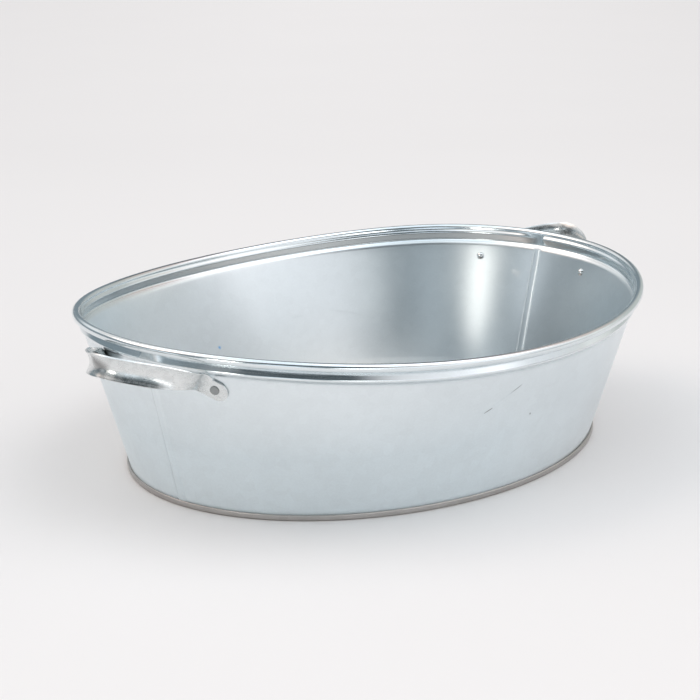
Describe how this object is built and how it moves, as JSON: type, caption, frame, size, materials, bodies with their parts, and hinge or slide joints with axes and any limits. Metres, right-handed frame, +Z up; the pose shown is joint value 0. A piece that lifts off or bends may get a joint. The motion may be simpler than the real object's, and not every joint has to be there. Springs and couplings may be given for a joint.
{
  "type": "galvanized tub",
  "caption": "Low oval galvanized steel wash tub with flared walls, a rolled rim that rises at both ends, and a riveted strap handle at each end.",
  "frame": {"origin": "middle of the ring under the folded base seam, on the floor", "axes": "+X along the length through both handles, +Y across the width, +Z up"},
  "size_m": [0.5776, 0.406, 0.131],
  "materials": {
    "tub_sheet": "satin hot-dip zinc",
    "base_sheet": "satin hot-dip zinc",
    "rim_wire": "drawn wire",
    "handle_strap": "bright galvanized strap",
    "rivet": "zinc plated, worn"
  },
  "bodies": {
    "root": {"body_front": "tub_sheet", "body_back": "tub_sheet", "base_plate": "base_sheet", "rim_wire": "rim_wire", "handle_left": "handle_strap", "handle_right": "handle_strap", "rivet_left_front": "rivet", "rivet_left_back": "rivet", "rivet_right_front": "rivet", "rivet_right_back": "rivet"}
  },
  "joints": []
}
